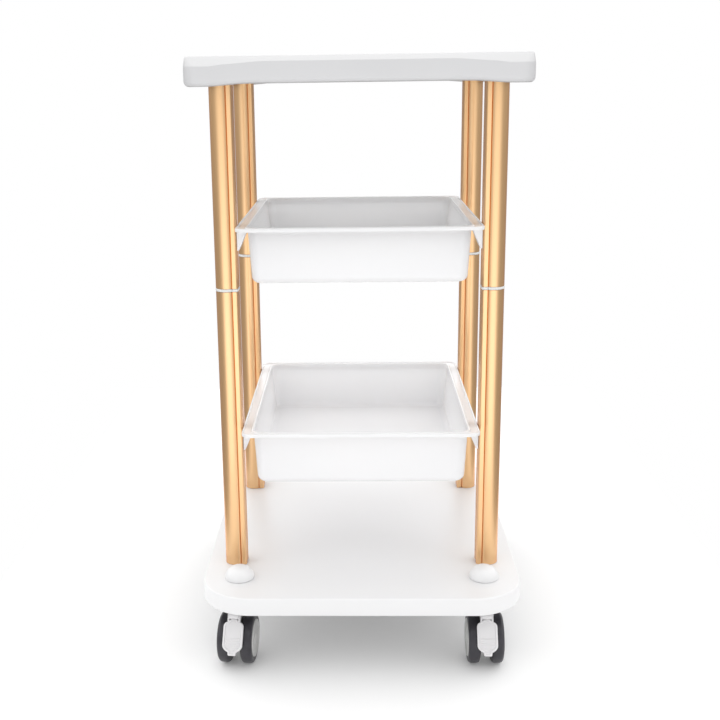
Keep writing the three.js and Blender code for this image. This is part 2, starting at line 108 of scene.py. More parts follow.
# ---- Node helpers ----
class Nodes:
    """A material's node tree, with short calls to add and link nodes."""

    def __init__(self, name):
        self.material = bpy.data.materials.new(name)
        self.material.use_nodes = True
        self.tree = self.material.node_tree
        self.shader = self.tree.nodes["Principled BSDF"]
        self.coordinates = self.add("ShaderNodeTexCoord").outputs["Object"]

    def add(self, kind, **values):
        node = self.tree.nodes.new(kind)
        for key, value in values.items():
            setattr(node, key, value)
        return node

    def link(self, output, target):
        self.tree.links.new(output, target)

    def set(self, **values):
        for key, value in values.items():
            self.shader.inputs[key.replace("_", " ")].default_value = value

    def scaled(self, x, y, z):
        mapping = self.add("ShaderNodeMapping")
        mapping.inputs["Scale"].default_value = (x, y, z)
        self.link(self.coordinates, mapping.inputs["Vector"])
        return mapping.outputs["Vector"]

    def noise(self, scale, detail=3.0, vector=None, roughness=0.5):
        node = self.add("ShaderNodeTexNoise")
        node.inputs["Scale"].default_value = scale
        node.inputs["Detail"].default_value = detail
        node.inputs["Roughness"].default_value = roughness
        self.link(vector or self.coordinates, node.inputs["Vector"])
        return node.outputs["Fac"]

    def spread(self, value, low, high, from_low=0.3, from_high=0.7):
        node = self.add("ShaderNodeMapRange")
        node.inputs["From Min"].default_value = from_low
        node.inputs["From Max"].default_value = from_high
        node.inputs["To Min"].default_value = low
        node.inputs["To Max"].default_value = high
        self.link(value, node.inputs["Value"])
        return node.outputs["Result"]

    def blend(self, factor, first, second):
        node = self.add("ShaderNodeMix", data_type="RGBA")
        self.link(factor, node.inputs["Factor"])
        for socket, value in (("A", first), ("B", second)):
            target = next(s for s in node.inputs if s.name == socket and s.type == "RGBA")
            if isinstance(value, bpy.types.NodeSocket):
                self.link(value, target)
            else:
                target.default_value = (*value, 1)
        return next(s for s in node.outputs if s.type == "RGBA")

    def bump(self, height, strength, distance):
        node = self.add("ShaderNodeBump")
        node.inputs["Strength"].default_value = strength
        node.inputs["Distance"].default_value = distance
        self.link(height, node.inputs["Height"])
        return node.outputs["Normal"]

    def colour(self, socket):
        self.link(socket, self.shader.inputs["Base Color"])

    def roughness(self, socket):
        self.link(socket, self.shader.inputs["Roughness"])

    def normal(self, socket):
        self.link(socket, self.shader.inputs["Normal"])


# ---- Materials ----
FLOOR_GLOW = 0.09
# Painted shade: the grey that the boards' down-facing faces are darkened to.
PAINTED_UNDERSIDE_SHADE = (0.45, 0.45, 0.45)  # the boards' undersides
TEXTURE_DEPTH = 0.0002


def painted_shade_by_slope(m, shade, upward, start, end):
    """The colour with painted shade by slope: grey where a board faces down, and going over to upward where it
    faces up.

    start and end are the slopes between which upward fades in, 1 being level."""
    facing = m.add("ShaderNodeSeparateXYZ")
    m.link(m.add("ShaderNodeNewGeometry").outputs["Normal"], facing.inputs[0])
    # Painted shade on faces that look down.
    shade = m.blend(m.spread(facing.outputs["Z"], 1, 0, -0.95, -0.7), shade, PAINTED_UNDERSIDE_SHADE)
    return m.blend(m.spread(facing.outputs["Z"], 0, 1, start, end), shade, upward)


def moulded_plastic(name, light, dark, finish, through=0.0, above=None):
    """Moulded plastic: a faint cloud in its colour, and a fine texture in gloss and surface.

    finish is its roughness, its texture's scale and its texture's strength. through is how far
    light passes into it. above is, for a board, its painted shade by slope: the colour where it faces up and the
    slopes where that fades in."""
    m = Nodes(name)
    rough, texture, strength = finish
    cloud = m.spread(m.noise(9, 4), 0, 1)
    shade = m.blend(cloud, dark, light)
    if above:
        shade = painted_shade_by_slope(m, shade, *above)
    m.colour(shade)
    grain = m.noise(texture, 2)
    m.roughness(m.spread(grain, rough - 0.05, rough + 0.05))
    m.normal(m.bump(grain, strength, TEXTURE_DEPTH))
    m.set(IOR=1.5)
    if through:
        m.set(Subsurface_Weight=through, Subsurface_Scale=0.006, Subsurface_Radius=(1, 1, 1))
    return m.material


def base_board_white():
    # top is a darker white for the faces that look up: painted shade on the board's top.
    light, dark, top = (0.89, 0.89, 0.895), (0.875, 0.875, 0.88), (0.81, 0.81, 0.815)
    return moulded_plastic("board_white", light, dark, (0.36, 1500, 0.06), above=(top, 0.85, 0.98))


def top_board_painted_shade():
    # Painted shade: a darker copy of the boards' white, lighter where it faces up, so the board's front and sides
    # carry painted shade.
    light, dark, top = (0.65, 0.65, 0.66), (0.635, 0.635, 0.645), (0.76, 0.76, 0.765)
    return moulded_plastic("top_board", light, dark, (0.36, 1500, 0.06), above=(top, 0.1, 0.3))


def tray_white():
    light, dark = (0.88, 0.88, 0.89), (0.865, 0.865, 0.88)
    return moulded_plastic("tray_white", light, dark, (0.2, 1200, 0.02), through=0.5)


def joint_white():
    return moulded_plastic("joint_white", (0.82, 0.83, 0.82), (0.8, 0.81, 0.8), (0.4, 1500, 0.05))


def caster_grey():
    return moulded_plastic("caster_grey", (0.62, 0.62, 0.62), (0.58, 0.58, 0.58), (0.42, 900, 0.2))


def hub_grey():
    return moulded_plastic("hub_grey", (0.62, 0.62, 0.61), (0.58, 0.58, 0.57), (0.45, 900, 0.2))


def pedal_white():
    return moulded_plastic("pedal_white", (0.82, 0.81, 0.82), (0.79, 0.78, 0.79), (0.35, 900, 0.15))


def pedal_face():
    # Painted shade: a slightly darker copy of the pedal's white, for the face sunk inside the border.
    return moulded_plastic("pedal_face", (0.80, 0.79, 0.80), (0.77, 0.76, 0.77), (0.42, 900, 0.2))


def gold_anodised():
    """Satin gold extrusion: fine die lines along its length over a slow change of tint."""
    m = Nodes("gold_anodised")
    m.set(Metallic=1.0, Specular_Tint=(1.0, 0.5, 0.2, 1))
    m.set(Coat_Weight=1.0, Coat_IOR=1.75, Coat_Roughness=0.2, Coat_Tint=(1.0, 0.87, 0.68, 1))
    lines = m.noise(1, 5, m.scaled(2600, 2600, 6), 0.65)
    tint = m.spread(m.noise(5, 3), 0, 1)
    m.colour(m.blend(tint, (0.84, 0.585, 0.345), (0.88, 0.625, 0.375)))
    m.roughness(m.spread(lines, 0.3, 0.38))
    m.normal(m.bump(lines, 0.05, 0.0001))
    return m.material


def tyre_rubber():
    """Dark polyurethane: slightly dusty where it is rough, with a fine texture."""
    m = Nodes("tyre_black")
    dust = m.spread(m.noise(60, 5), 0, 1, 0.45, 0.75)
    m.colour(m.blend(dust, (0.028, 0.026, 0.033), (0.045, 0.042, 0.051)))
    grain = m.noise(1400, 2)
    m.roughness(m.spread(grain, 0.3, 0.4))
    m.normal(m.bump(grain, 0.25, TEXTURE_DEPTH))
    return m.material


def plated_steel():
    """Bright plated steel, a little cloudy."""
    m = Nodes("steel")
    m.set(Metallic=1.0)
    cloud = m.spread(m.noise(120, 3), 0, 1)
    m.colour(m.blend(cloud, (0.50, 0.51, 0.52), (0.62, 0.62, 0.60)))
    m.roughness(m.spread(m.noise(900, 2), 0.28, 0.4))
    return m.material


def floor_paint():
    """The studio's white floor, with a faint glow that softens the shadow."""
    m = Nodes("studio_floor")
    m.colour(m.blend(m.spread(m.noise(2, 2), 0, 1), (0.88, 0.88, 0.88), (0.9, 0.9, 0.9)))
    m.set(Roughness=0.9, Emission_Color=(1, 1, 1, 1), Emission_Strength=FLOOR_GLOW)
    return m.material


# The looks, by material slot. top_board and pedal_face are further looks of two slots, darker copies of
# board_white and pedal_white: painted shade on the top board and in the pedal's sunken face.
MATERIALS = {
    "board_white": base_board_white(),
    "top_board": top_board_painted_shade(),
    "tray_white": tray_white(),
    "joint_white": joint_white(),
    "caster_grey": caster_grey(),
    "hub_grey": hub_grey(),
    "pedal_white": pedal_white(),
    "pedal_face": pedal_face(),
    "gold_anodised": gold_anodised(),
    "tyre_black": tyre_rubber(),
    "steel": plated_steel(),
}


# ---- Mesh helpers ----
SMOOTH_ANGLE = math.radians(32)


def finish_mesh(name, mesh, slot, body, replaced=(), look=None):
    """Links the mesh as a piece that rides on body and stands for the CAD nodes in replaced.

    Its material is the one named look, or else its slot's."""
    mesh.shade_smooth()
    mesh.set_sharp_from_angle(angle=SMOOTH_ANGLE)
    piece = bpy.data.objects.new(name, mesh)
    bpy.context.scene.collection.objects.link(piece)
    mesh.materials.append(MATERIALS[look or slot])
    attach(piece, body)
    if replaced:
        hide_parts(*replaced)
    return piece


def mesh_from(name, points, faces):
    mesh = bpy.data.meshes.new(name)
    mesh.from_pydata([tuple(p) for p in points], [], faces)
    mesh.validate()
    return mesh


def lofted(name, loops, closed_ends=True):
    """A mesh through loops of points. The first loop's face looks down and the last one's up."""
    count = len(loops[0])
    points = [p for loop in loops for p in loop]
    faces = []
    for k in range(len(loops) - 1):
        for i in range(count):
            j = (i + 1) % count
            faces.append((k * count + i, k * count + j, (k + 1) * count + j, (k + 1) * count + i))
    if closed_ends:
        faces.append(tuple(reversed(range(count))))
        faces.append(tuple((len(loops) - 1) * count + i for i in range(count)))
    return mesh_from(name, points, faces)


def rounded_loop(half_x, half_y, corner, z, arcs=12, run_x=1, run_y=1):
    """A rounded rectangle, counter-clockwise from above.

    z is a height, or a function of x and y. run_x and run_y are the steps along its straight sides."""
    height = z if callable(z) else lambda x, y: z
    flat = []
    signs = ((1, 1), (-1, 1), (-1, -1), (1, -1))
    for turn, (sx, sy) in enumerate(signs):
        cx, cy = sx * (half_x - corner), sy * (half_y - corner)
        for i in range(arcs + 1):
            angle = (turn + i / arcs) * math.pi / 2
            flat.append((cx + corner * math.cos(angle), cy + corner * math.sin(angle)))
        x, y = flat[-1]
        along_x = turn % 2 == 0
        to_x, to_y = (-x, y) if along_x else (x, -y)
        run = run_x if along_x else run_y
        for i in range(1, run):
            share = i / run
            flat.append((x + (to_x - x) * share, y + (to_y - y) * share))
    return [Vector((x, y, height(x, y))) for x, y in flat]


def smoothstep(low, high, value):
    """0 below low and 1 above high, with a smooth rise between."""
    t = min(1, max(0, (value - low) / (high - low)))
    return t * t * (3 - 2 * t)


def placed(mesh, matrix):
    """The mesh itself, moved by the matrix."""
    mesh.transform(matrix)
    return mesh


def turned(name, profile, segments=48):
    """A solid of revolution about X from points (x, radius), first and last on the axis or closed."""
    closed = profile[0] == profile[-1]
    ring = profile[:-1] if closed else profile
    points, rows = [], []
    for x, radius in ring:
        if radius < 1e-7:
            rows.append([len(points)] * segments)
            points.append(Vector((x, 0, 0)))
            continue
        rows.append(list(range(len(points), len(points) + segments)))
        for i in range(segments):
            angle = 2 * math.pi * i / segments
            points.append(Vector((x, radius * math.cos(angle), radius * math.sin(angle))))
    faces = []
    steps = len(ring) if closed else len(ring) - 1
    for k in range(steps):
        low, high = rows[k], rows[(k + 1) % len(ring)]
        for i in range(segments):
            j = (i + 1) % segments
            face = (low[i], low[j], high[j], high[i])
            face = tuple(dict.fromkeys(face))
            if len(face) > 2:
                faces.append(face)
    return outward(mesh_from(name, points, faces))


def outward(mesh):
    """The mesh itself, its doubled points merged and its faces turned outwards."""
    work = bmesh.new()
    work.from_mesh(mesh)
    bmesh.ops.remove_doubles(work, verts=work.verts, dist=1e-7)
    bmesh.ops.recalc_face_normals(work, faces=work.faces)
    work.to_mesh(mesh)
    work.free()
    return mesh


def bevelled_prism(name, outline, half, bevel, segments=3):
    """An outline of (y, z) points made solid from x = -half to half, its edges rounded over."""
    work = bmesh.new()
    low = [work.verts.new((-half, y, z)) for y, z in outline]
    high = [work.verts.new((half, y, z)) for y, z in outline]
    count = len(outline)
    ends = [work.faces.new(reversed(low)), work.faces.new(high)]
    for i in range(count):
        j = (i + 1) % count
        work.faces.new((low[i], low[j], high[j], high[i]))
    bmesh.ops.recalc_face_normals(work, faces=work.faces)
    edges = {edge for face in ends for edge in face.edges}
    rounding = {"offset": bevel, "segments": segments, "affect": "EDGES", "profile": 0.5}
    bmesh.ops.bevel(work, geom=list(edges), **rounding)
    mesh = bpy.data.meshes.new(name)
    work.to_mesh(mesh)
    work.free()
    return mesh


def merged(name, meshes):
    """Several closed meshes as one."""
    work = bmesh.new()
    for mesh in meshes:
        work.from_mesh(mesh)
        bpy.data.meshes.remove(mesh)
    result = bpy.data.meshes.new(name)
    work.to_mesh(result)
    work.free()
    return result


def inset_outline(outline, distance):
    """A counter-clockwise outline moved inwards by distance."""
    moved = []
    count = len(outline)
    for i, point in enumerate(outline):
        before = (point - outline[i - 1]).normalized()
        after = (outline[(i + 1) % count] - point).normalized()
        first = Vector((-before.y, before.x))
        second = Vector((-after.y, after.x))
        middle = (first + second).normalized()
        moved.append(point + middle * distance / max(0.5, middle.dot(first)))
    return moved


def quarter(steps):
    """The cosines and sines of a quarter turn, from 0 to 90 degrees."""
    angles = [math.pi / 2 * i / steps for i in range(steps + 1)]
    return [(math.cos(angle), math.sin(angle)) for angle in angles]


def quadratic(start, control, end, steps):
    """Points along a quadratic curve, without its start."""
    points = []
    for i in range(1, steps + 1):
        t = i / steps
        points.append(start * (1 - t) ** 2 + control * 2 * t * (1 - t) + end * t * t)
    return points


# ---- Boards ----
BASE = {"corner": 60 * MM, "edge": 2.5 * MM, "arcs": 20}
BOARD = {
    "corner": 14 * MM,
    "arch": 2.6 * MM,
    "arch_from": 159 * MM,
    "arch_to": 112 * MM,
    "panel": 673 * MM,  # height of the recess's ceiling
    "panel_round": 1.5 * MM,
    "skirt_width": 7.5 * MM,
    "skirt_draft": 2 * MM,
    "lower_edge": 5.5 * MM,
    "upper_edge": 5 * MM,
    "beside": 0.45,  # how far in the top edge reaches at the sides, beside front and back
    "rounding": (5.4 * MM, 8.2 * MM, 10.2 * MM),  # depth of the top edge, from the middle outwards
    "rounding_at": (95 * MM, 140 * MM, 150 * MM),
    # The top edge is a soft facet: (share of its width, share of its depth) from the side up.
    "facet": [(0, 1.08), (0.02, 1), (0.08, 0.9), (0.4, 0.5), (0.68, 0.16), (0.8, 0.06), (1, 0)],
}


def make_base_board():
    """A slab with large round corners and small rounded edges."""
    half_x, half_y = BASE_HIGH.x, BASE_HIGH.y
    corner, edge = BASE["corner"], BASE["edge"]

    def at(inset, z):
        return rounded_loop(half_x - inset, half_y - inset, corner - inset, z, arcs=BASE["arcs"])

    low = [at(edge * (1 - s), BASE_LOW.z + edge * (1 - c)) for c, s in quarter(4)]
    high = [at(edge * (1 - c), BASE_HIGH.z - edge * (1 - s)) for c, s in quarter(4)]
    mesh = lofted("base_board_moulding", low + high)
    finish_mesh("base_board_moulding", mesh, "board_white", "frame", ["base_board"])


def skirt_bottom_at(x):
    """How high the top board's skirt ends: it arches up between the corners."""
    rise = 1 - smoothstep(BOARD["arch_to"], BOARD["arch_from"], abs(x))
    return BOARD_LOW.z + BOARD["arch"] * rise


def rounding_at(x):
    """How deep the top edge's rounding is: deeper near the corners."""
    middle, step, corner = BOARD["rounding"]
    middle_at, step_at, corner_at = BOARD["rounding_at"]
    inner = smoothstep(middle_at, step_at, abs(x))
    outer = smoothstep(step_at, corner_at, abs(x))
    return middle + (step - middle) * inner + (corner - step) * outer


def make_top_board():
    """The board from its recessed underside, down the skirt's inside, and up round it to the top."""
    half_x, half_y, top = BOARD_HIGH.x, BOARD_HIGH.y, BOARD_HIGH.z
    corner, lower, upper = BOARD["corner"], BOARD["lower_edge"], BOARD["upper_edge"]
    width, draft = BOARD["skirt_width"], BOARD["skirt_draft"]

    def at(inset, z, beside=1.0):
        size = (half_x - inset * beside, half_y - inset, max(corner - inset, 2 * MM))
        return rounded_loop(*size, z, arcs=14, run_x=48, run_y=4)

    def above(height):
        return lambda x, y: skirt_bottom_at(x) + height

    def below(share):
        return lambda x, y: top - share * rounding_at(x)

    panel, soft = BOARD["panel"], BOARD["panel_round"]
    loops = [at(width + draft + 2 * MM, panel), at(width + draft, panel - soft)]
    loops += [at(width + 0.4 * MM, above(1 * MM)), at(width, above(0))]
    loops += [at(lower * (1 - s), above(lower * (1 - c))) for c, s in quarter(6)]
    loops += [at(upper * across, below(down), BOARD["beside"]) for across, down in BOARD["facet"]]
    mesh = lofted("top_board_moulding", loops)
    # The top board's look is its darker copy of the white: painted shade.
    finish_mesh("top_board_moulding", mesh, "board_white", "frame", ["top_board"], "top_board")


# ---- Trays ----
TRAY = {
    "corner": 11 * MM,
    "wall": (126 * MM, 159 * MM),
    "foot": (122 * MM, 157 * MM),
    "wall_corner": 12 * MM,
    "foot_round": 8 * MM,
    "sheet": 2.2 * MM,
    "flange": 2.8 * MM,
    "lip": 4.2 * MM,
    "lip_width": 2 * MM,
    "bead": 1.2 * MM,
    "bead_round": 0.9 * MM,
    "inner_round": (7 * MM, 5.8 * MM),
}


def make_tray(level):
    """A tray from its outer bottom up the wall, round the flange and its lip, and down inside."""
    low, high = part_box(f"{level}_tray")
    bottom, top = low.z, high.z
    half_x, half_y = high.x, high.y

    def loop(half, inset, corner, z):
        return rounded_loop(half[0] - inset, half[1] - inset, corner, z, arcs=12, run_x=2, run_y=2)

    def rim(inset, z):
        return loop((half_x, half_y), inset, TRAY["corner"] - inset, top + z)

    def wall(outset, z):
        return loop(TRAY["wall"], -outset, TRAY["wall_corner"] - 1 * MM, top + z)

    def foot(inset, height):
        return loop(TRAY["foot"], inset, TRAY["wall_corner"] - 0.7 * inset, bottom + height)

    outer, sheet, lip, bead = TRAY["foot_round"], TRAY["sheet"], TRAY["lip_width"], TRAY["bead"]
    small = TRAY["bead_round"]
    inner_in, inner_up = TRAY["inner_round"]
    # The outside, up to the flange's underside.
    loops = [foot(outer * (1 - s), outer * (1 - c)) for c, s in quarter(8)]
    loops += [wall(-1 * MM, -TRAY["flange"] - 1 * MM), wall(0.6 * MM, -TRAY["flange"])]
    # The hanging lip round the flange.
    loops += [rim(lip, -TRAY["flange"]), rim(lip, -TRAY["lip"]), rim(0.3 * MM, -TRAY["lip"])]
    loops += [rim(0, -TRAY["lip"] + 0.3 * MM)]
    loops += [rim(small * (1 - c), -small * (1 - s)) for c, s in quarter(4)]
    loops += [rim(lip - small * (1 - s), -small * (1 - c)) for c, s in quarter(3)]
    # The flange's upper face, then the bead round the opening.
    loops += [rim(lip + 0.3 * MM, -bead), wall(2.4 * MM, -bead)]
    loops += [wall(2.2 * MM - small * (1 - c), -small * (1 - s)) for c, s in quarter(3)]
    loops += [wall(-0.6 * MM + small * (1 - s), -small * (1 - c)) for c, s in quarter(3)]
    # The inside floor's rounding.
    loops += [foot(sheet + inner_in * (1 - c), sheet + inner_up * (1 - s)) for c, s in quarter(8)]
    name = f"{level}_tray_moulding"
    finish_mesh(name, lofted(name, loops), "tray_white", "frame", [f"{level}_tray"])


# ---- Posts ----
POST = {
    "radius": 12.7 * MM,
    "rail_face": 13.9 * MM,
    "rail_half": 11.2 * MM,
    "rail_edge": 2.9 * MM,
    "slot_mouth": 3.2 * MM,
    "slot_half": 5.6 * MM,
    "slot_lip": 12.2 * MM,
    "slot_floor": 8.4 * MM,
    "seam": 6.2 * MM,
    "groove_floor": 6.8 * MM,
    "groove_half": 9.8 * MM,
    "groove_end": 7.6 * MM,
    "edge": 0.3 * MM,
}


def arc(x, y, radius, start, end, steps):
    """Points on a circle round (x, y), from the angle start to the angle end."""
    angles = [start + (end - start) * i / steps for i in range(steps + 1)]
    return [Vector((x + radius * math.cos(a), y + radius * math.sin(a))) for a in angles]


def post_outline(grow=0.0, with_slot=True):
    """The extrusion's section, counter-clockwise, its rail and T-slot towards +X."""
    radius = POST["radius"] + grow
    face = POST["rail_face"] + grow
    half = POST["rail_half"] + grow
    edge = POST["rail_edge"]
    seam_angle = math.acos(POST["seam"] / radius)
    points = arc(0, 0, radius, seam_angle, 2 * math.pi - seam_angle, 48)
    points.append(Vector((POST["groove_floor"], -POST["groove_half"])))
    points.append(Vector((POST["groove_end"], -half)))
    points += arc(face - edge, edge - half, edge, -math.pi / 2, 0, 8)
    if with_slot:
        mouth, inner = POST["slot_mouth"], POST["slot_half"]
        lip, floor, soft = POST["slot_lip"], POST["slot_floor"], POST["edge"]
        lower = [(face, -mouth - soft), (face - soft, -mouth), (lip, -mouth)]
        lower += [(lip, -inner), (floor, -inner)]
        points += [Vector(p) for p in lower]
        points += [Vector((x, -y)) for x, y in reversed(lower)]
    points += arc(face - edge, half - edge, edge, 0, math.pi / 2, 8)
    points.append(Vector((POST["groove_end"], half)))
    points.append(Vector((POST["groove_floor"], POST["groove_half"])))
    return points


def towards_trays(sign_x):
    """Turns a post's section so that its rail faces the trays."""
    return Matrix.Rotation(0 if sign_x < 0 else math.pi, 4, "Z")


def make_post(node, sign_x, middle):
    """One extrusion along the whole height of its CAD node."""
    low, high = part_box(node)
    outline = post_outline()
    loops = [[Vector((p.x, p.y, z)) for p in outline] for z in (low.z, high.z)]
    name = f"{node}_extrusion"
    mesh = placed(lofted(name, loops), Matrix.Translation(middle) @ towards_trays(sign_x))
    finish_mesh(name, mesh, "gold_anodised", "frame", [node])


# The collar's edge: (how far it stands out from the post in mm, share of its half height).
COLLAR_EDGE = [(-0.3, -1), (0.1, -0.8), (0.4, -0.45), (0.4, 0.45), (0.1, 0.8), (-0.3, 1)]
COLLAR_HALF = 1.6 * MM


def make_collar(node, sign_x, middle):
    """The thin collar between two posts, its edges rounded. The posts hide the joint's spigots."""
    centre = middle_of(node).z
    loops = []
    for grow, share in COLLAR_EDGE:
        outline = post_outline(grow * MM, False)
        loops.append([Vector((p.x, p.y, centre + share * COLLAR_HALF)) for p in outline])
    name = f"{node}_collar"
    mesh = placed(lofted(name, loops), Matrix.Translation(middle) @ towards_trays(sign_x))
    finish_mesh(name, mesh, "joint_white", "frame", [node])


BRACKET = {
    "width": 20 * MM,
    "gap": 0.3 * MM,  # to the post's rail
    "toe": 3 * MM,
    "toe_round": 2 * MM,
    "reach": 12.3 * MM,
    "rim": 2.2 * MM,
    "edge": 0.8 * MM,
}


def make_bracket(node, sign_x, middle):
    """The wedge under a tray's side flange."""
    low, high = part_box(node)
    height = high.z - low.z
    toe, reach, edge = BRACKET["toe"], BRACKET["reach"], BRACKET["edge"]
    start = POST["rail_face"] + BRACKET["gap"]
    wedge = [(0, 0), (0, -height), (toe * 0.6, -height), (toe, -height + BRACKET["toe_round"])]
    wedge += [(reach - edge, -BRACKET["rim"]), (reach, 0)]
    name = f"{node}_wedge"
    outline = [(start + x, high.z + z) for x, z in wedge]
    mesh = bevelled_prism(name, outline, BRACKET["width"] / 2, edge)
    across = Matrix(((0, 1, 0, 0), (-1, 0, 0, 0), (0, 0, 1, 0), (0, 0, 0, 1)))
    place = Matrix.Translation(middle) @ towards_trays(sign_x) @ across
    finish_mesh(name, placed(mesh, place), "tray_white", "frame", [node])


SCREW = {"head": 6 * MM, "height": 2.6 * MM, "socket": 2.3 * MM, "depth": 1.6 * MM, "points": 36}


def make_post_screw(corner, middle):
    """The screw that holds a post, its round head and hexagon socket under the base board."""

    def ring(radius, depth, sides=0):
        """A ring of points, round or with a number of flat sides, so far under the board."""
        points = []
        for i in range(SCREW["points"]):
            angle = 2 * math.pi * i / SCREW["points"]
            part = 2 * math.pi / sides if sides else 1
            flat = math.cos(part / 2) / math.cos(angle % part - part / 2) if sides else 1
            at = radius * flat
            points.append(Vector((at * math.cos(angle), at * math.sin(angle), BASE_LOW.z - depth)))
        return points

    head, height = SCREW["head"], SCREW["height"]
    loops = [ring(head, 0), ring(head, 0.35 * height)]
    loops += [ring(head * (0.55 + 0.45 * c), height * (0.35 + 0.65 * s)) for c, s in quarter(5)[1:]]
    loops += [ring(SCREW["socket"], height, 6), ring(SCREW["socket"], height - SCREW["depth"], 6)]
    name = f"{corner}_post_screw"
    mesh = outward(lofted(name, loops))
    middle = Vector((middle.x, middle.y, 0))
    finish_mesh(name, placed(mesh, Matrix.Translation(middle)), "steel", "frame")


# ---- Casters ----
def joint_place(name):
    """Where a joint of the frame stands."""
    return Vector(next(j for j in frame["joints"] if j["name"] == name)["pos_m"])


def caster_axes(corner):
    """A caster's own axes: on the floor under its swivel, +X along its axle, the wheels at -Y."""
    swivel = joint_place(f"{corner}_swivel_turn")
    wheel = joint_place(f"{corner}_outer_wheel_spin")
    swivel.z = wheel.z
    y = (swivel - wheel).normalized()
    x = y.cross(Vector((0, 0, 1)))
    return Matrix(
        (
            (x.x, y.x, 0, swivel.x),
            (x.y, y.y, 0, swivel.y),
            (0, 0, 1, 0),
            (0, 0, 0, 1),
        )
    )


WHEEL_CENTRE = joint_place("front_right_outer_wheel_spin")
TRAIL = abs(WHEEL_CENTRE.y - joint_place("front_right_swivel_turn").y)
WHEEL_RADIUS = WHEEL_CENTRE.z
WHEEL = {"rim": 22.4 * MM, "inner": 6.6 * MM, "outer": 20.6 * MM, "shoulder": (4.4 * MM, 4.6 * MM)}
HUB = {"radius": 22 * MM, "axle": 4.5 * MM}


def tyre_profile():
    """A tyre's section: its bore on the rim, and a tread with rounded shoulders."""
    inner, outer, rim = WHEEL["inner"], WHEEL["outer"], WHEEL["rim"]
    side, up = WHEEL["shoulder"]
    points = [(inner, rim)]
    points += [(inner + side * (1 - c), WHEEL_RADIUS - up * (1 - s)) for c, s in quarter(7)]
    points += [(outer - side * (1 - s), WHEEL_RADIUS - up * (1 - c)) for c, s in quarter(7)]
    points += [(outer, rim + 0.5 * MM), (outer - 0.4 * MM, rim), (inner, rim)]
    return points


def hub_profile():
    """From the axle's bore round the hub's inner face to its outer: rim, bead, dish and middle."""
    inner, outer, radius = WHEEL["inner"], WHEEL["outer"], HUB["radius"]
    blind = outer - 2.1 * MM
    points = [(blind, 0), (blind, HUB["axle"]), (inner + 0.5 * MM, HUB["axle"])]
    points += [(inner + 0.5 * MM, radius - 0.6 * MM), (inner + 1.1 * MM, radius)]
    points += [(outer, radius)]
    # Millimetres out from the tyre's side, with the distance in from the rim, then from the axle.
    bead = [(0.5, 0.35), (0.8, 0.9), (0.8, 1.5), (0.5, 2.1)]
    bead += [(-0.6, 2.7), (-1.05, 3.3), (-1.15, 4.6)]
    points += [(outer + x * MM, radius - r * MM) for x, r in bead]
    dish = [(-1.0, 13), (-0.7, 9), (-0.5, 7.2), (0.2, 6.6), (0.6, 6.0), (0.75, 4.8), (0.8, 0)]
    points += [(outer + x * MM, r * MM) for x, r in dish]
    return points


def make_wheel(corner, label, axes):
    """A caster's outer or inner wheel: its tyre and its hub, the dish facing away from the housing."""
    tyre_node = f"{corner}_caster_{label}_tyre"
    hub_node = f"{corner}_caster_{label}_hub"
    side = (axes.inverted() @ middle_of(tyre_node)).x
    facing = Matrix.Rotation(0 if side > 0 else math.pi, 4, "Z")
    place = axes @ Matrix.Translation((0, -TRAIL, WHEEL_RADIUS)) @ facing
    body = f"{corner}_{label}_wheel"
    tyre = placed(turned(f"{tyre_node}_moulding", tyre_profile(), 96), place)
    finish_mesh(tyre.name, tyre, "tyre_black", body, [tyre_node])
    hub = placed(turned(f"{hub_node}_moulding", hub_profile(), 64), place)
    finish_mesh(hub.name, hub, "hub_grey", body, [hub_node])


CAP = {"radius": 17.2 * MM, "wall": 2.6 * MM, "band": 1.3 * MM, "foot": 0.4 * MM}


def make_cap(corner):
    """The dome over a caster's nut, on the base board."""
    node = f"{corner}_caster_cap"
    low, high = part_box(node)
    radius, wall, band, foot = CAP["radius"], CAP["wall"], CAP["band"], CAP["foot"]
    height = high.z - low.z
    inner = [(high.z - wall, 0)]
    for c, s in reversed(quarter(8)[:-1]):
        inner.append((low.z + (height - wall) * s, (radius - wall) * c))
    outer = [(low.z, radius - foot), (low.z + foot, radius), (low.z + band, radius)]
    for c, s in quarter(14)[1:]:
        outer.append((low.z + band + (height - band) * s, radius * c if s < 1 else 0))
    mesh = turned(f"{corner}_cap_dome", inner + outer, 72)
    upright = Matrix(((0, 0, 1, 0), (0, 1, 0, 0), (1, 0, 0, 0), (0, 0, 0, 1)))
    middle = middle_of(node)
    mesh = placed(mesh, Matrix.Translation((middle.x, middle.y, 0)) @ upright)
    finish_mesh(mesh.name, outward(mesh), "board_white", "frame", [node])


# Along is up the paddle from level with the axle, and off is straight away from the wheels.
PEDAL = {
    "tilt": math.pi / 6,
    "off": 31.5 * MM,
    "thickness": 3.4 * MM,
    "half_width": 11.7 * MM,
    "neck_half": 7.4 * MM,
    "crown": 18.8 * MM,
    "neck": 15.4 * MM,
    "shoulder": 9.2 * MM,
    "hip": -10.6 * MM,
    "root": -18.9 * MM,
    "root_half": 4.9 * MM,
    "tip": -22.8 * MM,
    "tip_half": 4.6 * MM,
    "border": 2.2 * MM,
    "recess": 1.3 * MM,
    "pin": (23.6 * MM, 31.8 * MM),
    "pin_radius": 2 * MM,
    "pin_end": 0.4 * MM,
    "ear_radius": 4.2 * MM,
    "ear_turn": (-math.pi / 2 - 0.6, math.pi / 2 + 0.2),
    "ear_lap": 4 * MM,
    "ears": (5.5 * MM, 7.4 * MM),
    "hood": (4.4 * MM, 5.5 * MM),
    "hood_turn": (math.radians(38), math.radians(165)),
    "ribs": 6,
    "rib_from": -17 * MM,
    "rib_step": 2.7 * MM,
    # A rib's section in millimetres.
    "rib": [(-0.65, -0.2), (0.65, -0.2), (0.5, 0.55), (0.2, 0.8), (-0.2, 0.8), (-0.5, 0.55)],
}
FACE_HEIGHT = PEDAL["thickness"] - PEDAL["recess"]


